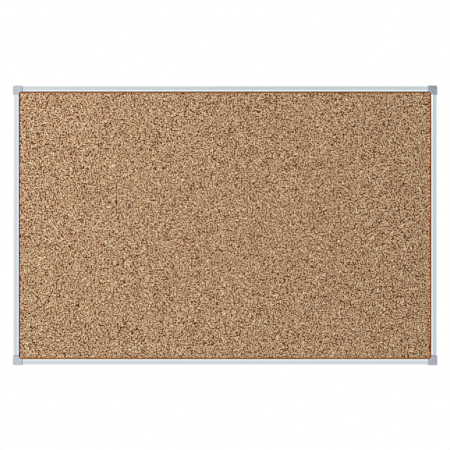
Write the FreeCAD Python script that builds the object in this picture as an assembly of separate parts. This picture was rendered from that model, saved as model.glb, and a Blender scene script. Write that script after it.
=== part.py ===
"""Cork bulletin board: a laminated cork panel held in an aluminium frame, for hanging on a wall.

Four extruded rails grip the panel in their grooves. Each corner is a moulded corner body with two
tongues that slide into the hollow rails and a hole for a wall screw. A cap pushes onto each corner
body, covers that screw and pulls off towards the front.

Frame: millimetres, +X to the right, +Z up, the wall plane is y = 0 and the cork faces -Y. The origin is
the centre of the four wall screw holes, in the wall plane.

Section sizes are given by two values: inward, measured from the outer face of a rail towards the middle
of the board, and height, measured from the wall plane towards the front.
"""

import FreeCAD, Part
import math
import os

# Overall sizes, over the outer faces of the rails.
BOARD_WIDTH = 912.0
BOARD_HEIGHT = 600.0

# Rail section. The front lip rises in front of the cork and reaches over its edge.
OUTER_WALL = 1.2
FRONT_WALL = 1.2
REAR_WALL = 1.2
CHAMBER_WIDTH = 4.8
WEB_WALL = 1.1
FRONT_LIP_REACH = 4.4
FRONT_LIP_RISE = 2.6
REAR_LIP_REACH = 3.4
BEVEL_WIDTH = 2.6
LIP_TIP_HEIGHT = 0.9
LIP_SEAT_WIDTH = 1.0
LIP_BEND_SETBACK = 0.4
FRONT_EDGE_RADIUS = 1.5
REAR_EDGE_RADIUS = 0.4
BEVEL_EDGE_RADIUS = 0.3

# Panel, a laminate of three sheets.
CORK_THICKNESS = 2.0
CORE_THICKNESS = 8.4
BACKING_THICKNESS = 0.8
PANEL_EDGE_CLEARANCE = 0.8

# Corner cap. A diagonal gusset fills its inner corner.
CAP_PROUD = 1.2
CAP_FRONT_PROUD = 0.8
CAP_PLATE = 1.6
CAP_SKIRT = 1.9
CAP_RIM = 1.2
CAP_PAST_GUSSET = 2.95
CAP_CORNER_RADIUS = 3.0
CAP_EDGE_RADIUS = 0.6
CAP_WALL_GAP = 0.4
CAP_RIM_GAP = 0.3
CAP_FIT = 0.1

# Pegs under the cap, in blind holes of the corner body.
PEG_RADIUS = 1.5
PEG_CLEARANCE = 0.05
PEG_LENGTH = 6.0
PEG_TIP_CHAMFER = 0.5
PEG_HOLE_SPARE = 0.7
PEG_SIDE_WALL = 1.7
PEG_END_WALL = 2.7

# Corner body.
TONGUE_LENGTH = 28.0
TONGUE_CLEARANCE = 0.1
TONGUE_ROOT = 2.0
TONGUE_TIP_CHAMFER = 1.0
BOSS_WALL = 1.7
PANEL_CORNER_LAP = 1.3

# Each rail is cut short by this much, so that it enters the frame easily. It is pushed against the
# corner body at its right or upper end, which leaves a seam at its left or lower end.
RAIL_END_GAP = 1.0

# Wall screw holes, through the corner bodies.
WALL_HOLE_RADIUS = 2.5
WALL_HOLE_FROM_FACE_EDGE = 3.2
WALL_HEAD_RADIUS = 4.6

# Lock screws, driven from the back through the rail into each tongue.
LOCK_SHANK_RADIUS = 1.2
LOCK_CLEARANCE = 0.1
PILOT_CLEARANCE = 0.05
LOCK_HEAD_RADIUS = 2.25
LOCK_LENGTH = 9.0
LOCK_SUNK = 0.05
LOCK_HOLE_SPARE = 1.0
CROSS_WIDTH = 0.5
CROSS_LENGTH = 2.4
CROSS_DEPTH = 0.7

# Values that follow from the ones above.
ROOT2 = math.sqrt(2)
HALF_WIDTH = BOARD_WIDTH / 2
HALF_HEIGHT = BOARD_HEIGHT / 2

# Heights, from the wall plane to the front.
PANEL_BACK = REAR_WALL
CORE_BACK = PANEL_BACK + BACKING_THICKNESS
CORK_BACK = CORE_BACK + CORE_THICKNESS
PANEL_FRONT = CORK_BACK + CORK_THICKNESS
FRAME_DEPTH = PANEL_FRONT + FRONT_LIP_RISE
CHAMBER_TOP = FRAME_DEPTH - FRONT_WALL
CAP_FRONT = FRAME_DEPTH + CAP_FRONT_PROUD
CAP_SEAT = CAP_FRONT - CAP_PLATE

# Distances inward, from the outer face of a rail.
WEB_OUTER = OUTER_WALL + CHAMBER_WIDTH
WEB_INNER = WEB_OUTER + WEB_WALL
FACE_WIDTH = WEB_INNER + FRONT_LIP_REACH
REAR_LIP_WIDTH = WEB_INNER + REAR_LIP_REACH
PANEL_INSET = WEB_INNER + PANEL_EDGE_CLEARANCE
WALL_HOLE_INSET = FACE_WIDTH - WALL_HOLE_FROM_FACE_EDGE
BODY_INSET = CAP_SKIRT - CAP_PROUD + CAP_FIT

# Diagonal edges at a corner, each as the sum of its distances from the two outer faces.
CORE_SUM = 2 * WALL_HOLE_INSET + (WALL_HOLE_RADIUS + BOSS_WALL) * ROOT2
PANEL_SUM = CORE_SUM + PANEL_EDGE_CLEARANCE * ROOT2
GUSSET_SUM = PANEL_SUM + (PANEL_CORNER_LAP + CAP_RIM + CAP_FIT) * ROOT2

# Distances along a rail, from the outer face of the rail that it meets at the corner.
SHOULDER = GUSSET_SUM - FACE_WIDTH + CAP_PAST_GUSSET
CAP_END = SHOULDER - CAP_FIT
CAP_LEG = SHOULDER + CAP_PROUD
LOCK_FROM_CORNER = SHOULDER + TONGUE_LENGTH / 2
LOCK_INWARD = OUTER_WALL + CHAMBER_WIDTH / 2
PEG_SIDE = BODY_INSET + PEG_SIDE_WALL + PEG_RADIUS
PEG_ALONG = SHOULDER - PEG_END_WALL - PEG_RADIUS


def across(along, inward, height):
    """A point of the bottom rail: along +X from the middle, inward from the bottom edge."""
    return FreeCAD.Vector(along, -height, inward - HALF_HEIGHT)


def upright(along, inward, height):
    """A point of the left rail: along +Z from the middle, inward from the left edge."""
    return FreeCAD.Vector(inward - HALF_WIDTH, -height, along)


def corner(right, up, height):
    """A point of the bottom left corner, measured from the outer faces of the two rails there."""
    return FreeCAD.Vector(right - HALF_WIDTH, -height, up - HALF_HEIGHT)


def section(points, place):
    """A closed wire through (p, q, radius) points, each corner rounded by its radius."""
    edges = []
    ends = []
    count = len(points)
    for i, (p, q, radius) in enumerate(points):
        here = FreeCAD.Vector(p, q, 0)
        before = FreeCAD.Vector(*points[i - 1][:2], 0) - here
        after = FreeCAD.Vector(*points[(i + 1) % count][:2], 0) - here
        before.normalize()
        after.normalize()
        half = before.getAngle(after) / 2
        reach = radius / math.tan(half) if radius else 0.0
        first = here + before * reach
        last = here + after * reach
        ends.append((first, last))
        if radius:
            middle = before + after
            middle.normalize()
            crest = here + middle * (radius / math.sin(half) - radius)
            arc = [place(v.x, v.y) for v in (first, crest, last)]
            edges.append(Part.Arc(*arc).toShape())
    for i in range(count):
        start = ends[i][1]
        stop = ends[(i + 1) % count][0]
        edges.append(Part.makeLine(place(start.x, start.y), place(stop.x, stop.y)))
    return Part.Wire(Part.__sortEdges__(edges))


def prism(points, place, direction):
    """The solid swept by a rounded outline in one straight direction."""
    return Part.Face(section(points, place)).extrude(direction)


def plan_prism(points, low, high):
    """A solid of the corner with the given outline in plan, from one height to another."""
    return prism(points, lambda right, up: corner(right, up, low), FreeCAD.Vector(0, low - high, 0))


def cylinder(right, up, low, high, radius, top_radius=None):
    """A round solid of the corner, standing square to the board, or a cone if two radii are given."""
    base = corner(right, up, low)
    forward = FreeCAD.Vector(0, -1, 0)
    if top_radius is None:
        return Part.makeCylinder(radius, high - low, base, forward)
    return Part.makeCone(radius, top_radius, high - low, base, forward)


def square(low, high, radius=0.0):
    """The plan of a square from one inset to another, rounded at its outer corner."""
    return [(low, low, radius), (high, low, 0), (high, high, 0), (low, high, 0)]


def gusset_plan(outer, leg, width, total):
    """The plan of a corner: two legs of one width, joined by a diagonal where right + up = total."""
    return [
        (outer, outer, 0),
        (leg, outer, 0),
        (leg, width, 0),
        (total - width, width, 0),
        (width, total - width, 0),
        (width, leg, 0),
        (outer, leg, 0),
    ]


def inset_plan(outer, leg, inset):
    """The cap's plan with its inner edges moved outward by an inset."""
    return gusset_plan(outer, leg, FACE_WIDTH - inset, GUSSET_SUM - inset * ROOT2)


def rail_outline():
    """The closed outline of the rail section, with the panel's groove open to the inside."""
    bevel_start = FACE_WIDTH - BEVEL_WIDTH
    return [
        (0, 0, REAR_EDGE_RADIUS),
        (REAR_LIP_WIDTH, 0, REAR_EDGE_RADIUS),
        (REAR_LIP_WIDTH, REAR_WALL, 0),
        (WEB_INNER, REAR_WALL, 0),
        (WEB_INNER, CHAMBER_TOP, 0),
        (bevel_start - LIP_BEND_SETBACK, CHAMBER_TOP, 0),
        (FACE_WIDTH - LIP_SEAT_WIDTH, PANEL_FRONT, 0),
        (FACE_WIDTH, PANEL_FRONT, 0),
        (FACE_WIDTH, PANEL_FRONT + LIP_TIP_HEIGHT, BEVEL_EDGE_RADIUS),
        (bevel_start, FRAME_DEPTH, BEVEL_EDGE_RADIUS),
        (0, FRAME_DEPTH, FRONT_EDGE_RADIUS),
    ]


def chamber_outline():
    """The hollow beside the outer wall, which takes the tongues of the corner bodies."""
    return [
        (OUTER_WALL, REAR_WALL, 0),
        (WEB_OUTER, REAR_WALL, 0),
        (WEB_OUTER, CHAMBER_TOP, 0),
        (OUTER_WALL, CHAMBER_TOP, 0),
    ]


def lock_hole(point):
    """The countersunk hole in a rail's rear wall for one lock screw."""
    forward = FreeCAD.Vector(0, -1, 0)
    radius = LOCK_SHANK_RADIUS + LOCK_CLEARANCE
    mouth = LOCK_HEAD_RADIUS + LOCK_SUNK
    hole = Part.makeCylinder(radius, REAR_WALL, point, forward)
    return hole.fuse(Part.makeCone(mouth, radius, mouth - radius, point, forward))


def rail(place, half_length):
    """One rail, along the board's edge between two corner bodies, short by the end gap."""
    start = SHOULDER + RAIL_END_GAP - half_length
    stop = half_length - SHOULDER
    sweep = place(stop, 0, 0) - place(start, 0, 0)
    shape = prism(rail_outline(), lambda p, q: place(start, p, q), sweep)
    shape = shape.cut(prism(chamber_outline(), lambda p, q: place(start, p, q), sweep))
    for along in (LOCK_FROM_CORNER - half_length, half_length - LOCK_FROM_CORNER):
        shape = shape.cut(lock_hole(place(along, LOCK_INWARD, 0)))
    return shape


def panel_layer(back, front):
    """One sheet of the panel, with its corners cut off to clear the corner bodies."""
    x = HALF_WIDTH - PANEL_INSET
    z = HALF_HEIGHT - PANEL_INSET
    cut = PANEL_SUM - 2 * PANEL_INSET
    points = [
        (cut - x, -z, 0),
        (x - cut, -z, 0),
        (x, cut - z, 0),
        (x, z - cut, 0),
        (x - cut, z, 0),
        (cut - x, z, 0),
        (-x, z - cut, 0),
        (-x, cut - z, 0),
    ]
    return prism(points, lambda p, q: FreeCAD.Vector(p, -back, q), FreeCAD.Vector(0, back - front, 0))


def bevelled_strip(place, direction, edge):
    """A plate from the outer side to an inner edge, which is bevelled like the rails."""
    points = [
        (-CAP_PROUD, CAP_SEAT, 0),
        (edge, CAP_SEAT, 0),
        (edge - BEVEL_WIDTH, CAP_FRONT, 0),
        (-CAP_PROUD, CAP_FRONT, 0),
    ]
    return prism(points, place, direction)


def cap_plate():
    """The front of the cap, with its inner edges and the diagonal between them bevelled."""
    long_way = CAP_END + CAP_PROUD
    low = -CAP_PROUD
    upright_leg = bevelled_strip(
        lambda p, q: corner(p, low, q), FreeCAD.Vector(0, 0, long_way), FACE_WIDTH
    )
    level_leg = bevelled_strip(
        lambda p, q: corner(low, p, q), FreeCAD.Vector(long_way, 0, 0), FACE_WIDTH
    )
    diagonal = bevelled_strip(
        lambda p, q: corner(p / ROOT2 - CAP_LEG, p / ROOT2 + CAP_LEG, q),
        FreeCAD.Vector(2 * CAP_LEG, 0, -2 * CAP_LEG),
        GUSSET_SUM / ROOT2,
    )
    return upright_leg.fuse([level_leg, diagonal])


def peg_places():
    """The two places, in plan, of a cap's pegs."""
    return [(PEG_SIDE, PEG_ALONG), (PEG_ALONG, PEG_SIDE)]


def cap_envelope():
    """The outside of a cap: a square block with its outer corner and its front edges rounded."""
    block = plan_prism(square(-CAP_PROUD, CAP_END, CAP_CORNER_RADIUS), CAP_WALL_GAP, CAP_FRONT)
    front = [e for e in block.Edges if abs(e.BoundBox.YMax + CAP_FRONT) < 1e-6]
    return block.makeFillet(CAP_EDGE_RADIUS, front)


def corner_cap():
    """The cover that pushes onto a corner body and hides its wall screw."""
    skirt = plan_prism(square(-CAP_PROUD, CAP_END), CAP_WALL_GAP, CAP_SEAT)
    hollow = square(CAP_SKIRT - CAP_PROUD, CAP_LEG, CAP_CORNER_RADIUS - CAP_SKIRT)
    skirt = skirt.cut(plan_prism(hollow, 0, CAP_SEAT))
    rim_low = PANEL_FRONT + CAP_RIM_GAP
    rim = plan_prism(inset_plan(0, CAP_END, 0), rim_low, CAP_SEAT)
    rim = rim.cut(plan_prism(inset_plan(-CAP_PROUD, CAP_LEG, CAP_RIM), rim_low, CAP_SEAT))
    shape = cap_plate().fuse([skirt, rim]).common(cap_envelope())
    tip = PEG_RADIUS - PEG_TIP_CHAMFER
    peg_low = CAP_SEAT - PEG_LENGTH
    pegs = []
    for right, up in peg_places():
        pegs.append(cylinder(right, up, peg_low + PEG_TIP_CHAMFER, CAP_SEAT, PEG_RADIUS))
        pegs.append(cylinder(right, up, peg_low, peg_low + PEG_TIP_CHAMFER, tip, PEG_RADIUS))
    return shape.fuse(pegs).removeSplitter()


def tongue():
    """The tongue that slides into the bottom rail, tapered at its tip and rooted in the body's core."""
    low = OUTER_WALL + TONGUE_CLEARANCE
    high = WEB_OUTER - TONGUE_CLEARANCE
    tip = SHOULDER + TONGUE_LENGTH
    points = [
        (SHOULDER - TONGUE_ROOT, low, 0),
        (tip - TONGUE_TIP_CHAMFER, low, 0),
        (tip, low + TONGUE_TIP_CHAMFER, 0),
        (tip, high - TONGUE_TIP_CHAMFER, 0),
        (tip - TONGUE_TIP_CHAMFER, high, 0),
        (SHOULDER - TONGUE_ROOT, high, 0),
    ]
    shape = plan_prism(points, REAR_WALL + TONGUE_CLEARANCE, CHAMBER_TOP - TONGUE_CLEARANCE)
    place = (LOCK_FROM_CORNER, LOCK_INWARD)
    pilot_top = LOCK_SUNK + LOCK_LENGTH + LOCK_HOLE_SPARE
    pilot_radius = LOCK_SHANK_RADIUS + PILOT_CLEARANCE
    pilot = cylinder(*place, 0, pilot_top, pilot_radius)
    # Clears a screw head that is deeper than the rail's rear wall.
    mouth = LOCK_HEAD_RADIUS + LOCK_SUNK
    countersink = cylinder(*place, 0, mouth - pilot_radius, mouth, pilot_radius)
    return shape.cut([pilot, countersink])


def swap_legs(shape):
    """The same shape with the corner's two directions exchanged."""
    return shape.mirror(corner(0, 0, 0), FreeCAD.Vector(1, 0, -1))


def corner_body():
    """The moulded piece that joins two rails, grips the panel's corner and takes the wall screw."""
    corner_radius = CAP_CORNER_RADIUS - CAP_SKIRT - CAP_FIT
    envelope = plan_prism(square(BODY_INSET, SHOULDER, corner_radius), 0, CAP_SEAT)
    core = plan_prism(gusset_plan(0, CAP_LEG, WEB_INNER, CORE_SUM), 0, CAP_SEAT)
    rear_lip = plan_prism(inset_plan(0, CAP_LEG, FACE_WIDTH - REAR_LIP_WIDTH), 0, REAR_WALL)
    front_lip = plan_prism(inset_plan(0, CAP_LEG, CAP_RIM + CAP_FIT), PANEL_FRONT, CAP_SEAT)
    shape = core.fuse([rear_lip, front_lip]).common(envelope)
    shape = shape.fuse([tongue(), swap_legs(tongue())])
    inset = WALL_HOLE_INSET
    head_low = CAP_SEAT - (WALL_HEAD_RADIUS - WALL_HOLE_RADIUS)
    cuts = [
        cylinder(inset, inset, 0, CAP_SEAT, WALL_HOLE_RADIUS),
        cylinder(inset, inset, head_low, CAP_SEAT, WALL_HOLE_RADIUS, WALL_HEAD_RADIUS),
    ]
    hole_low = CAP_SEAT - PEG_LENGTH - PEG_HOLE_SPARE
    for right, up in peg_places():
        cuts.append(cylinder(right, up, hole_low, CAP_SEAT, PEG_RADIUS + PEG_CLEARANCE))
    return shape.cut(cuts).removeSplitter()


def lock_screw():
    """A countersunk cross-head screw in the bottom rail, its head just below the rail's rear face."""
    head_height = LOCK_HEAD_RADIUS - LOCK_SHANK_RADIUS
    top = LOCK_SUNK + LOCK_LENGTH
    place = (LOCK_FROM_CORNER, LOCK_INWARD)
    head = cylinder(*place, LOCK_SUNK, LOCK_SUNK + head_height, LOCK_HEAD_RADIUS, LOCK_SHANK_RADIUS)
    shank = cylinder(*place, LOCK_SUNK, top - LOCK_SHANK_RADIUS, LOCK_SHANK_RADIUS)
    point = cylinder(*place, top - LOCK_SHANK_RADIUS, top, LOCK_SHANK_RADIUS, 0)
    shape = head.fuse([shank, point])
    for length, width in ((CROSS_LENGTH, CROSS_WIDTH), (CROSS_WIDTH, CROSS_LENGTH)):
        right = LOCK_FROM_CORNER - length / 2
        up = LOCK_INWARD - width / 2
        slot = Part.makeBox(length, LOCK_SUNK + CROSS_DEPTH, width)
        slot.translate(corner(right, up, LOCK_SUNK + CROSS_DEPTH))
        shape = shape.cut(slot)
    return shape


def mirrored(shape, flip_x, flip_z):
    """A copy of a bottom left shape in another corner of the board."""
    origin = FreeCAD.Vector(0, 0, 0)
    if flip_x:
        shape = shape.mirror(origin, FreeCAD.Vector(1, 0, 0))
    if flip_z:
        shape = shape.mirror(origin, FreeCAD.Vector(0, 0, 1))
    return shape


CORNERS = {
    "top_left": (False, True),
    "top_right": (True, True),
    "bottom_left": (False, False),
    "bottom_right": (True, False),
}


def make_parts():
    """Every piece of the board, by node name."""
    level_rail = rail(across, HALF_WIDTH)
    upright_rail = rail(upright, HALF_HEIGHT)
    screw = lock_screw()
    screws = Part.makeCompound([screw, swap_legs(screw)])
    parts = {
        "top_rail": mirrored(level_rail, False, True),
        "bottom_rail": level_rail,
        "left_rail": upright_rail,
        "right_rail": mirrored(upright_rail, True, False),
        "cork_sheet": panel_layer(CORK_BACK, PANEL_FRONT),
        "core_board": panel_layer(CORE_BACK, CORK_BACK),
        "backing_sheet": panel_layer(PANEL_BACK, CORE_BACK),
    }
    corner_pieces = {"corner_body": corner_body(), "corner_cap": corner_cap(), "lock_screws": screws}
    for where, flips in CORNERS.items():
        for name, shape in corner_pieces.items():
            parts[f"{name}_{where}"] = mirrored(shape, *flips)
    return parts


os.makedirs("parts", exist_ok=True)
for node, solid in make_parts().items():
    solid.exportStep(f"parts/{node}.step")
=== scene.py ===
"""Looks of the cork bulletin board: granulated cork, satin aluminium rails and grey plastic corners.

Metres, in the frame of the CAD model: +X to the right, +Z up, the cork faces -Y. Noise scales are per metre.
"""

import math

import bmesh
import bpy
import numpy as np
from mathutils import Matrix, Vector


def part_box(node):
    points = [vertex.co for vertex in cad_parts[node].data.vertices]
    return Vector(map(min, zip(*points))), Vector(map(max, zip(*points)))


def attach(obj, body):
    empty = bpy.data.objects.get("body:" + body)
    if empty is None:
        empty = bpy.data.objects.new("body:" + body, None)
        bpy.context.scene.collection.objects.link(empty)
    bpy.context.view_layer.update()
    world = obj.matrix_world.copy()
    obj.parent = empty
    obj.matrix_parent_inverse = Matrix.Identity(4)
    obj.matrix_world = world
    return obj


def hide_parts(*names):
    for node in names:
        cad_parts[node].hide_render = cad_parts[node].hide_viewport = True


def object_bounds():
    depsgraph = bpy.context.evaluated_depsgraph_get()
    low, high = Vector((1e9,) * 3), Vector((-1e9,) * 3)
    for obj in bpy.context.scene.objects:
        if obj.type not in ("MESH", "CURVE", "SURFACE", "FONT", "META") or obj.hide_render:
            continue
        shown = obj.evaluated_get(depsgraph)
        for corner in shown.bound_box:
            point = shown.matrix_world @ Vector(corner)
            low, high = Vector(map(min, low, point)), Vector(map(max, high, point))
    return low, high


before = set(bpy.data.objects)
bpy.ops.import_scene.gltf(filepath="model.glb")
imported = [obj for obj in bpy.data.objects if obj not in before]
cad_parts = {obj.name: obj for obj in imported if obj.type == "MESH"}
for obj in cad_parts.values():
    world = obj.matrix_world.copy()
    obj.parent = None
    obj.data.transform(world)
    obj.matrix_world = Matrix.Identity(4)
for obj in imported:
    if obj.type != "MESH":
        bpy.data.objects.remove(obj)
CAD_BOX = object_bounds()

# Camera, square on to the board. The field is the width of the view at the cork.
CAMERA_DISTANCE = 5.0
CAMERA_FIELD = 0.969
CAMERA_CLIP = 50
SENSOR = 36.0
CAMERA_AIM = Vector((-0.0001, CAD_BOX[0].y, 0.0007))

# Lamps: place, target, width and power. The world adds an even light.
KEY_LAMP = ((-1.80, -1.55, 1.05), (-0.1, 0, 0.05), 1.3, 33)
BACK_LAMP = ((1.4, 2.4, 1.5), (0, 0, 0), 1.4, 26)
AMBIENT = 0.60

# Floor: its middle keeps the shadow and glows by MIDDLE_GLOW. It is plain white from WHITE_END outwards.
FLOOR_HEIGHT = -0.75
FLOOR_REACH = 12
WHITE_START = 0.8
WHITE_END = 2.2
MIDDLE_GLOW = 0.5

# Cork: sizes of its granules.
CHIP = 0.0007
GRANULE = 0.0015
CLUSTER = 0.0030
SPECK = 0.0028
WARP_SIZE = 0.0050
WARP_REACH = 0.0030
SEAM_WIDTH = 0.10
GRAIN_SCALE = 1500.0
PATCH_SCALE = 30.0

# Cork: how much each pattern adds to its tone.
CHIP_SHARE = 0.50
GRANULE_SHARE = 0.15
RIM_SHARE = 0.95
RIM_START = 0.15
RIM_STOP = 0.70
RIM_MEAN = 0.485
SEAM_SHARE = 0.20
GRAIN_SHARE = 0.30
PATCH_SHARE = 0.08

# Cork: specks of dark bark and of pale cork.
SPOT_RADIUS = 0.55
DARK_SHARE = 0.07
PALE_SHARE = 0.06

# Cork: its pits, as a fine mesh and as bump.
RELIEF_SPACING = 0.0024
RELIEF_DEPTH = 0.00045
RELIEF_JITTER = 0.3
RELIEF_MARGIN = 0.001
RELIEF_SEED = 11
PIT_TONE = 0.2
TOP_TONE = 0.7
FACE_TOLERANCE = 1e-5
CORK_BUMP = 0.0004
GRAIN_RISE = 0.25
CHIP_RISE = 0.3

# How far each corner of the cork sheet is cut back along its sides.
CORNER_CUT = 0.00787

# Painted shade on the cork under the frame's lip, darkest at the left and top: axis of the board's plane,
# side, width and colour.
FRAME_SHADE_BANDS = (
    (0, -1, 0.0028, (70, 32, 6)),
    (0, 1, 0.0034, (138, 62, 0)),
    (1, -1, 0.0042, (152, 96, 34)),
    (1, 1, 0.0044, (142, 90, 40)),
)
FRAME_SHADE_UNEVEN = 0.0016
FRAME_SHADE_FADE_START = 0.7
FRAME_SHADE_DARK = 0.6
FRAME_SHADE_PALE = 1.25

# Aluminium: lines along the extrusion, and the polish of the bevels around the cork.
LINE_SCALE = 2600.0
LINE_STRETCH = 0.012
LINE_DEPTH = 0.00002
METAL_MOTTLE_SCALE = 160.0
METAL_ROUGHNESS = 0.26
LINE_ROUGHNESS = 0.12
BEVEL_POLISH = 0.75

# How far forward a face looks where it stops being a side, and where it becomes a front.
SIDE_END = (0.4, 0.6)
FRONT_START = (0.85, 0.97)

# Moulded plastic.
PLASTIC_GRAIN = 0.0007
PLASTIC_DEPTH = 0.00006
PLASTIC_MOTTLE_SCALE = 130.0
PLASTIC_IOR = 1.5

# Pressed fibre boards.
CLOUD_SCALE = 9.0
FIBRE_DEPTH = 0.0003

# Zinc-plated steel.
ZINC_SCALE = 700.0
ZINC_DEPTH = 0.00005


def srgb(red, green, blue):
    """A colour written as 0 to 255 display values, as linear values with alpha."""
    shares = [v / 255 for v in (red, green, blue)]
    linear = [v / 12.92 if v <= 10 / 255 else ((v + 0.055) / 1.055) ** 2.4 for v in shares]
    return (*linear, 1.0)


# ---- Nodes ----

def node(tree, kind, inputs=None, **settings):
    """Adds a node. Inputs are values, or sockets to link from."""
    made = tree.nodes.new(kind)
    for name, value in settings.items():
        setattr(made, name, value)
    for key, value in (inputs or {}).items():
        if isinstance(value, bpy.types.NodeSocket):
            tree.links.new(value, made.inputs[key])
        else:
            made.inputs[key].default_value = value
    return made


def calc(tree, operation, *values):
    return node(tree, "ShaderNodeMath", dict(enumerate(values)), operation=operation).outputs[0]


def total(tree, first, *others):
    """The sum of the values."""
    for value in others:
        first = calc(tree, "ADD", first, value)
    return first


def weighted(tree, *pairs):
    """The sum of the values, each times its weight."""
    return total(tree, *[calc(tree, "MULTIPLY", value, weight) for value, weight in pairs])


def centred(tree, value, share):
    """A value from 0 to 1, moved to lie around 0 and scaled."""
    return calc(tree, "MULTIPLY", calc(tree, "SUBTRACT", value, 0.5), share)


def vector_calc(tree, operation, *values):
    return node(tree, "ShaderNodeVectorMath", dict(enumerate(values)), operation=operation).outputs[0]


def scale_vector(tree, vector, factor):
    return node(tree, "ShaderNodeVectorMath", {0: vector, "Scale": factor}, operation="SCALE").outputs[0]


def channels(tree, vector):
    """The three numbers of a vector or colour."""
    return node(tree, "ShaderNodeSeparateXYZ", {0: vector}).outputs


def blend(tree, factor, first, second, mode="MIX"):
    """Mixes two colours."""
    inputs = {0: factor, 6: first, 7: second}
    return node(tree, "ShaderNodeMix", inputs, data_type="RGBA", blend_type=mode).outputs[2]


def smooth_range(tree, value, low, high, to_low=0.0, to_high=1.0):
    """Maps a value from one range to another, smoothly and clamped."""
    inputs = {0: value, 1: low, 2: high, 3: to_low, 4: to_high}
    return node(tree, "ShaderNodeMapRange", inputs, interpolation_type="SMOOTHSTEP").outputs[0]


def ramp(tree, value, stops):
    """A colour ramp through (position, colour) stops."""
    made = node(tree, "ShaderNodeValToRGB", {0: value})
    elements = made.color_ramp.elements
    while len(elements) < len(stops):
        elements.new(0.5)
    for element, (position, colour) in zip(elements, stops):
        element.position = position
        element.color = colour
    return made.outputs[0]


def noise(tree, vector, scale, detail=2.0, roughness=0.5):
    """Soft noise: a value first, then a colour."""
    inputs = {"Vector": vector, "Scale": scale, "Detail": detail, "Roughness": roughness}
    return node(tree, "ShaderNodeTexNoise", inputs).outputs


def voronoi(tree, vector, size, feature="F1"):
    """Uneven cells of a size, in the plane."""
    inputs = {"Vector": vector, "Scale": 1 / size}
    return node(tree, "ShaderNodeTexVoronoi", inputs, feature=feature, voronoi_dimensions="2D").outputs


def bump(tree, height, distance, strength):
    inputs = {"Height": height, "Distance": distance, "Strength": strength}
    return node(tree, "ShaderNodeBump", inputs).outputs[0]


def object_place(tree):
    return node(tree, "ShaderNodeTexCoord").outputs["Object"]


def board_plane(tree, place):
    """The place in the plane of the board, x and z, as a flat vector."""
    split = channels(tree, place)
    return node(tree, "ShaderNodeCombineXYZ", {0: split[0], 1: split[2]}).outputs[0]


# ---- Materials ----

def new_material(name):
    """A material with nodes. Returns it with its tree and its surface shader."""
    material = bpy.data.materials.new(name)
    material.use_nodes = True
    tree = material.node_tree
    return material, tree, tree.nodes["Principled BSDF"]


def finish_shader(tree, shader, colour, roughness, normal, **values):
    """Links the surface shader's inputs and sets its plain values."""
    for key, socket in (("Base Color", colour), ("Roughness", roughness), ("Normal", normal)):
        tree.links.new(socket, shader.inputs[key])
    for key, value in values.items():
        shader.inputs[key.replace("_", " ")].default_value = value


# ---- Cork ----

def warped(tree, plane):
    """The plane, bent a little so that the granules are uneven."""
    wander = noise(tree, plane, 1 / WARP_SIZE, 1.0)["Color"]
    wander = vector_calc(tree, "SUBTRACT", wander, (0.5, 0.5, 0.5))
    return vector_calc(tree, "ADD", plane, scale_vector(tree, wander, WARP_REACH))


def granules(tree, plane):
    """Cells of the cork: chips, and by the heart of each chip its granule, cluster and speck."""
    chips = voronoi(tree, plane, CHIP)
    return chips, *[voronoi(tree, chips["Position"], size) for size in (GRANULE, CLUSTER, SPECK)]


def picked(tree, cells, share):
    """A tone of each cell's own."""
    return centred(tree, channels(tree, cells["Color"])[0], share)


def spots(tree, cells, channel, share):
    """Spots in the middle of a share of the cells."""
    chosen = calc(tree, "LESS_THAN", channels(tree, cells["Color"])[channel], share)
    return calc(tree, "MULTIPLY", chosen, calc(tree, "LESS_THAN", cells["Distance"], SPOT_RADIUS))


def dark_spots(tree, specks):
    return spots(tree, specks, 0, DARK_SHARE)


def pale_spots(tree, specks):
    return spots(tree, specks, 1, PALE_SHARE)


def cork_tone(tree, small, large):
    """Tone of the granules, 0 for dark bark and 1 for pale cork, darker at the rims of their clusters."""
    rim = smooth_range(tree, large["Distance"], RIM_START, RIM_STOP)
    tone = calc(tree, "MULTIPLY", calc(tree, "SUBTRACT", RIM_MEAN, rim), RIM_SHARE)
    return total(tree, tone, 0.5, picked(tree, small, GRANULE_SHARE))


def cork_height(tree, small, large, specks):
    """Height of the cork's face, 0 in its pits and 1 on its granules."""
    height = smooth_range(tree, cork_tone(tree, small, large), PIT_TONE, TOP_TONE)
    return calc(tree, "MULTIPLY", height, calc(tree, "SUBTRACT", 1.0, dark_spots(tree, specks)))


def cork_ramp(tree, tone):
    """Colours of the cork, from bark to the palest granules."""
    return ramp(tree, tone, [
        (0.00, srgb(78, 30, 8)),
        (0.18, srgb(122, 72, 40)),
        (0.38, srgb(171, 120, 79)),
        (0.56, srgb(198, 151, 109)),
        (0.78, srgb(226, 187, 144)),
        (1.00, srgb(250, 229, 191)),
    ])


def painted_frame_shade(tree, colour, plane, grain, pick, half_sizes):
    """Paints shade on the cork: a narrow uneven brown band along each side of the frame, under its lip."""
    place = channels(tree, plane)
    uneven = centred(tree, grain, FRAME_SHADE_UNEVEN)
    for axis, side, width, tint in FRAME_SHADE_BANDS:
        inward = calc(tree, "SUBTRACT", half_sizes[axis], calc(tree, "MULTIPLY", place[axis], side))
        inward = calc(tree, "ADD", inward, uneven)
        band = smooth_range(tree, inward, width * FRAME_SHADE_FADE_START, width, 1.0, 0.0)
        dark = srgb(*(v * FRAME_SHADE_DARK for v in tint))
        pale = srgb(*(v * FRAME_SHADE_PALE for v in tint))
        colour = blend(tree, band, colour, blend(tree, pick, dark, pale))
    return colour


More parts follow.
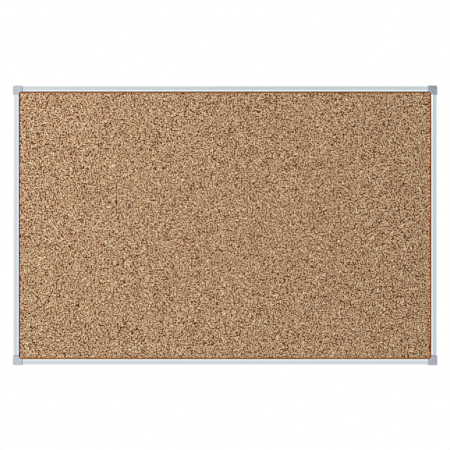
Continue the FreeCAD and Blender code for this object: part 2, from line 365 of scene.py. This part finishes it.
def cork_material(half_width, half_height):
    """Tan granules of mixed tones with dark bark specks, and painted shade in a brown band along the frame's
    edge.
    """
    material, tree, shader = new_material("cork")
    plane = board_plane(tree, object_place(tree))
    bent = warped(tree, plane)
    chips, small, large, specks = granules(tree, bent)
    seams = voronoi(tree, bent, CHIP, "DISTANCE_TO_EDGE")["Distance"]
    grain = noise(tree, plane, GRAIN_SCALE, 3.0, 0.6)[0]
    patches = noise(tree, plane, PATCH_SCALE)[0]

    tone = total(tree, cork_tone(tree, small, large), picked(tree, chips, CHIP_SHARE))
    tone = calc(tree, "SUBTRACT", tone, smooth_range(tree, seams, 0.0, SEAM_WIDTH, SEAM_SHARE, 0.0))
    tone = total(tree, tone, centred(tree, grain, GRAIN_SHARE), centred(tree, patches, PATCH_SHARE))

    colour = blend(tree, pale_spots(tree, specks), cork_ramp(tree, tone), srgb(244, 226, 192))
    colour = blend(tree, dark_spots(tree, specks), colour, srgb(52, 16, 0))
    pick = channels(tree, small["Color"])[1]
    # Painted shade: a brown band along the frame, where its lip shades the cork.
    colour = painted_frame_shade(tree, colour, plane, grain, pick, (half_width, half_height))

    height = total(
        tree,
        cork_height(tree, small, large, specks),
        calc(tree, "MULTIPLY", grain, GRAIN_RISE),
        smooth_range(tree, seams, 0.0, SEAM_WIDTH * 2, 0.0, CHIP_RISE),
    )
    rough = smooth_range(tree, tone, 0.2, 0.9, 0.72, 0.52)
    finish_shader(tree, shader, colour, rough, bump(tree, height, CORK_BUMP, 0.6), Specular_IOR_Level=0.1)
    return material


def sunk_face(tree, half_width, half_height):
    """How far back each point of the sheet goes: its face sinks between the granules, inside the frame."""
    place = node(tree, "GeometryNodeInputPosition").outputs[0]
    x, y, z = channels(tree, place)
    cells = granules(tree, warped(tree, board_plane(tree, place)))
    sunk = calc(tree, "SUBTRACT", 1.0, cork_height(tree, *cells[1:]))
    limits = (
        calc(tree, "LESS_THAN", y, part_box("cork_sheet")[0].y + FACE_TOLERANCE),
        calc(tree, "LESS_THAN", calc(tree, "ABSOLUTE", x), half_width),
        calc(tree, "LESS_THAN", calc(tree, "ABSOLUTE", z), half_height),
    )
    depth = calc(tree, "MULTIPLY", sunk, RELIEF_DEPTH)
    for inside in limits:
        depth = calc(tree, "MULTIPLY", depth, inside)
    return node(tree, "ShaderNodeCombineXYZ", {1: depth}).outputs[0]


def apply_relief(sheet, half_width, half_height):
    """Sinks the sheet's face between its granules, by the same pattern as its colour."""
    tree = bpy.data.node_groups.new("relief", "GeometryNodeTree")
    for side in ("INPUT", "OUTPUT"):
        tree.interface.new_socket("Geometry", in_out=side, socket_type="NodeSocketGeometry")
    source = node(tree, "NodeGroupInput").outputs[0]
    offset = sunk_face(tree, half_width, half_height)
    moved = node(tree, "GeometryNodeSetPosition", {"Geometry": source, "Offset": offset})
    node(tree, "NodeGroupOutput", {0: moved.outputs[0]})
    sheet.modifiers.new("relief", "NODES").node_group = tree
    graph = bpy.context.evaluated_depsgraph_get()
    mesh = bpy.data.meshes.new_from_object(sheet.evaluated_get(graph))
    sheet.modifiers.clear()
    sheet.data = mesh


def fine_face(mesh, low, size):
    """A grid over the sheet's front, with its points moved a little at random."""
    bmesh.ops.create_grid(
        mesh,
        x_segments=round(size.x / RELIEF_SPACING),
        y_segments=round(size.z / RELIEF_SPACING),
        size=0.5,
    )
    rng = np.random.default_rng(RELIEF_SEED)
    for vertex in mesh.verts:
        x = vertex.co.x * size.x
        z = vertex.co.y * size.z
        if not vertex.is_boundary:
            x += rng.uniform(-RELIEF_JITTER, RELIEF_JITTER) * RELIEF_SPACING
            z += rng.uniform(-RELIEF_JITTER, RELIEF_JITTER) * RELIEF_SPACING
        vertex.co = (x, low.y, z)


def cut_corners(mesh, high):
    for right in (-1, 1):
        for up in (-1, 1):
            bmesh.ops.bisect_plane(
                mesh,
                geom=[*mesh.verts, *mesh.edges, *mesh.faces],
                plane_co=(right * (high.x - CORNER_CUT), 0, up * high.z),
                plane_no=(right, 0, up),
                clear_outer=True,
            )


def close_back(mesh, high):
    """Adds the sheet's sides and its flat back."""
    rim = [edge for edge in mesh.edges if edge.is_boundary]
    wall = bmesh.ops.extrude_edge_only(mesh, edges=rim)["geom"]
    for item in wall:
        if isinstance(item, bmesh.types.BMVert):
            item.co.y = high.y
    back = [item for item in wall if isinstance(item, bmesh.types.BMEdge) and item.is_boundary]
    bmesh.ops.contextual_create(mesh, geom=back)
    bmesh.ops.recalc_face_normals(mesh, faces=mesh.faces)


def cork_surface():
    """The cork sheet, as a fine mesh with its granules standing out of its face."""
    low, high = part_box("cork_sheet")
    half_width = -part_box("left_rail")[1].x
    half_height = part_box("top_rail")[0].z
    mesh = bmesh.new()
    fine_face(mesh, low, high - low)
    cut_corners(mesh, high)
    close_back(mesh, high)
    data = bpy.data.meshes.new("cork_surface")
    mesh.to_mesh(data)
    mesh.free()
    sheet = bpy.data.objects.new("cork_surface", data)
    bpy.context.scene.collection.objects.link(sheet)
    apply_relief(sheet, half_width - RELIEF_MARGIN, half_height - RELIEF_MARGIN)
    sheet.data.materials.clear()
    sheet.data.materials.append(cork_material(half_width, half_height))
    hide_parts("cork_sheet")
    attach(sheet, "frame")


# ---- Metal and plastic ----

def true_normal(tree):
    return node(tree, "ShaderNodeNewGeometry").outputs["True Normal"]


def any_bevel(tree):
    """1 on a bevel, which faces both forward and to a side, and 0 on faces square to the board."""
    forward = calc(tree, "MULTIPLY", channels(tree, true_normal(tree))[1], -1.0)
    not_side = smooth_range(tree, forward, *SIDE_END)
    not_front = smooth_range(tree, forward, *FRONT_START, 1.0, 0.0)
    return calc(tree, "MULTIPLY", not_side, not_front)


def inner_bevel(tree, place):
    """1 on the bevels that face the middle of the board."""
    level = vector_calc(tree, "MULTIPLY", true_normal(tree), (1.0, 0.0, 1.0))
    dot = node(tree, "ShaderNodeVectorMath", {0: level, 1: place}, operation="DOT_PRODUCT")
    return calc(tree, "MULTIPLY", any_bevel(tree), calc(tree, "LESS_THAN", dot.outputs["Value"], 0.0))


def aluminium_material(name, along, base):
    """Satin anodised aluminium, with faint lines along the extrusion and a painted highlight on its bevels:
    a brighter, bluer colour there.
    """
    material, tree, shader = new_material(name)
    place = object_place(tree)
    stretch = [1.0, 1.0, 1.0]
    stretch[along] = LINE_STRETCH
    lines = noise(tree, vector_calc(tree, "MULTIPLY", place, tuple(stretch)), LINE_SCALE, 3.0)[0]
    mottle = noise(tree, place, METAL_MOTTLE_SCALE, 3.0)[0]
    drawn = weighted(tree, (lines, 0.7), (mottle, 0.3))
    face = blend(tree, drawn, blend(tree, 1.0, base, srgb(232, 234, 236), "MULTIPLY"), base)
    # Painted highlight: the bevels' brighter, bluer colour.
    bevel = blend(tree, drawn, srgb(232, 246, 255), srgb(238, 251, 255))
    colour = blend(tree, any_bevel(tree), face, bevel)
    rough = total(tree, calc(tree, "MULTIPLY", lines, LINE_ROUGHNESS), METAL_ROUGHNESS)
    polish = calc(tree, "MULTIPLY", inner_bevel(tree, place), BEVEL_POLISH)
    rough = calc(tree, "MULTIPLY", rough, calc(tree, "SUBTRACT", 1.0, polish))
    finish_shader(tree, shader, colour, rough, bump(tree, lines, LINE_DEPTH, 0.4), Metallic=1.0)
    return material


def plastic_material(name, base, bevel):
    """Moulded plastic with a fine spark-eroded texture, and a painted highlight on its bevels: another,
    lighter tone there.
    """
    material, tree, shader = new_material(name)
    place = object_place(tree)
    grain = noise(tree, place, 1 / PLASTIC_GRAIN)[0]
    mottle = noise(tree, place, PLASTIC_MOTTLE_SCALE, 3.0)[0]
    # Painted highlight: the lighter tone of the bevels.
    light = blend(tree, any_bevel(tree), base, bevel)
    dark = blend(tree, 1.0, light, srgb(228, 228, 230), "MULTIPLY")
    colour = blend(tree, weighted(tree, (grain, 0.5), (mottle, 0.5)), dark, light)
    rough = total(tree, calc(tree, "MULTIPLY", mottle, 0.2), 0.42)
    finish_shader(tree, shader, colour, rough, bump(tree, grain, PLASTIC_DEPTH, 0.6), IOR=PLASTIC_IOR)
    return material


def board_material(name, base, dark, fibre_size):
    """Pressed fibres, for the softboard core and the sheet behind it."""
    material, tree, shader = new_material(name)
    place = object_place(tree)
    along = vector_calc(tree, "MULTIPLY", place, (1.0, 1.0, 0.12))
    across = vector_calc(tree, "MULTIPLY", place, (0.2, 1.0, 1.0))
    short = vector_calc(tree, "MULTIPLY", place, (1.0, 1.0, 0.4))
    fibres = noise(tree, along, 1 / fibre_size, 4.0, 0.7)[0]
    cross_fibres = noise(tree, across, 0.7 / fibre_size, 3.0, 0.6)[0]
    flecks = noise(tree, short, 1.4 / fibre_size, 1.0)[0]
    clouds = noise(tree, place, CLOUD_SCALE, 3.0)[0]
    value = weighted(tree, (fibres, 0.5), (cross_fibres, 0.38), (clouds, 0.12))
    colour = blend(tree, smooth_range(tree, value, 0.32, 0.68), dark, base)
    colour = blend(tree, smooth_range(tree, flecks, 0.68, 0.74, 0.0, 0.55), colour, srgb(92, 66, 42))
    rough = total(tree, calc(tree, "MULTIPLY", fibres, 0.2), 0.7)
    finish_shader(tree, shader, colour, rough, bump(tree, value, FIBRE_DEPTH, 0.5), Specular_IOR_Level=0.3)
    return material


def steel_material():
    """Zinc-plated steel, faintly yellow and uneven."""
    material, tree, shader = new_material("zinc_steel")
    cloud = noise(tree, object_place(tree), ZINC_SCALE, 3.0)[0]
    colour = blend(tree, cloud, srgb(176, 176, 170), srgb(208, 208, 200))
    rough = total(tree, calc(tree, "MULTIPLY", cloud, 0.3), 0.2)
    finish_shader(tree, shader, colour, rough, bump(tree, cloud, ZINC_DEPTH, 0.4), Metallic=1.0)
    return material


def dress(name, material):
    """Gives a CAD node its material."""
    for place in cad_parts[name].material_slots:
        place.material = material


def dress_rails():
    """One aluminium to a rail, with its lines along the rail's axis and a tone of painted light and shade:
    the four tones differ by how the light falls on each rail.
    """
    for name, along, base in (
        # Painted light and shade: one aluminium in four tones, by how the light falls on each rail.
        ("top", 0, srgb(212, 217, 219)),
        ("bottom", 0, srgb(221, 225, 228)),
        ("left", 2, srgb(218, 223, 226)),
        ("right", 2, srgb(212, 215, 217)),
    ):
        dress(f"{name}_rail", aluminium_material(f"aluminium_{name}", along, base))


def dress_corners():
    """One plastic to a cap, for its face and its bevels: the four faces are one grey in painted light and
    shade, and their lighter bevels are a painted highlight. The bodies and screws share theirs.
    """
    body = plastic_material("body_plastic", srgb(120, 124, 130), srgb(130, 134, 140))
    steel = steel_material()
    for where, face, bevel in (
        # Painted light and shade: each cap's face tone, with a painted highlight in its bevel tone.
        ("top_left", srgb(187, 191, 198), srgb(222, 230, 240)),
        ("top_right", srgb(162, 171, 186), srgb(180, 196, 216)),
        ("bottom_left", srgb(196, 201, 209), srgb(222, 232, 244)),
        ("bottom_right", srgb(189, 192, 202), srgb(192, 197, 210)),
    ):
        dress(f"corner_cap_{where}", plastic_material(f"cap_plastic_{where}", face, bevel))
        dress(f"corner_body_{where}", body)
        dress(f"lock_screws_{where}", steel)


def dress_panel():
    dress("core_board", board_material("softboard", srgb(176, 146, 108), srgb(140, 110, 78), 0.003))
    dress("backing_sheet", board_material("backing_board", srgb(182, 146, 106), srgb(146, 112, 76), 0.0018))
    dress("cork_sheet", bpy.data.materials["cork"])


# ---- Scene ----

def ray_kinds(tree):
    """Whether a ray comes from the camera, and whether it comes from gloss or glass."""
    path = node(tree, "ShaderNodeLightPath").outputs
    return path["Is Camera Ray"], calc(tree, "MAXIMUM", path["Is Glossy Ray"], path["Is Transmission Ray"])


def white_world():
    """Plain white where it is seen or mirrored, and a dimmer even light on the object."""
    world = bpy.data.worlds.new("studio")
    bpy.context.scene.world = world
    world.use_nodes = True
    tree = world.node_tree
    seen = calc(tree, "MAXIMUM", *ray_kinds(tree))
    strength = total(tree, AMBIENT, calc(tree, "MULTIPLY", seen, 1 - AMBIENT))
    background = tree.nodes["Background"]
    background.inputs["Color"].default_value = (1, 1, 1, 1)
    tree.links.new(strength, background.inputs["Strength"])


def floor_material():
    """Pale and matt in the middle, where it keeps the shadow, and turning white away from it."""
    material, tree, shader = new_material("floor")
    place = object_place(tree)
    cloud = noise(tree, place, 3.0)[0]
    tree.links.new(blend(tree, cloud, srgb(238, 238, 237), srgb(243, 243, 243)), shader.inputs["Base Color"])
    shader.inputs["Roughness"].default_value = 0.8
    shader.inputs["Specular IOR Level"].default_value = 0.0
    white = node(tree, "ShaderNodeEmission").outputs[0]
    away = node(tree, "ShaderNodeVectorMath", {0: place}, operation="LENGTH").outputs[1]
    by_camera, by_gloss = ray_kinds(tree)
    glow = smooth_range(tree, away, WHITE_START, WHITE_END, MIDDLE_GLOW, 1.0)
    glow = calc(tree, "MAXIMUM", calc(tree, "MULTIPLY", by_camera, glow), by_gloss)
    mixed = node(tree, "ShaderNodeMixShader", {0: glow, 1: shader.outputs[0], 2: white}).outputs[0]
    tree.links.new(mixed, tree.nodes["Material Output"].inputs["Surface"])
    return material


def pale_floor():
    mesh = bpy.data.meshes.new("floor")
    corners = [(-1, -1), (1, -1), (1, 1), (-1, 1)]
    points = [(x * FLOOR_REACH, y * FLOOR_REACH, FLOOR_HEIGHT) for x, y in corners]
    mesh.from_pydata(points, [], [(0, 1, 2, 3)])
    mesh.materials.append(floor_material())
    floor = bpy.data.objects.new("floor", mesh)
    bpy.context.scene.collection.objects.link(floor)


def area_light(name, place, target, width, power):
    """A round lamp that faces its target."""
    data = bpy.data.lights.new(name, "AREA")
    data.shape = "DISK"
    data.size = width
    data.energy = power
    lamp = bpy.data.objects.new(name, data)
    lamp.location = place
    lamp.rotation_euler = (Vector(target) - Vector(place)).to_track_quat("-Z", "Y").to_euler()
    bpy.context.scene.collection.objects.link(lamp)


def camera():
    """A camera with a long lens, level and square on."""
    data = bpy.data.cameras.new("camera")
    data.sensor_width = SENSOR
    data.lens = SENSOR * CAMERA_DISTANCE / CAMERA_FIELD
    data.clip_end = CAMERA_CLIP
    eye = bpy.data.objects.new("camera", data)
    eye.location = CAMERA_AIM - Vector((0, CAMERA_DISTANCE, 0))
    eye.rotation_euler = (math.pi / 2, 0, 0)
    bpy.context.scene.collection.objects.link(eye)
    bpy.context.scene.camera = eye


cork_surface()
dress_rails()
dress_corners()
dress_panel()
white_world()
pale_floor()
area_light("key", *KEY_LAMP)
area_light("back", *BACK_LAMP)
camera()
bpy.context.scene.view_settings.view_transform = "Standard"
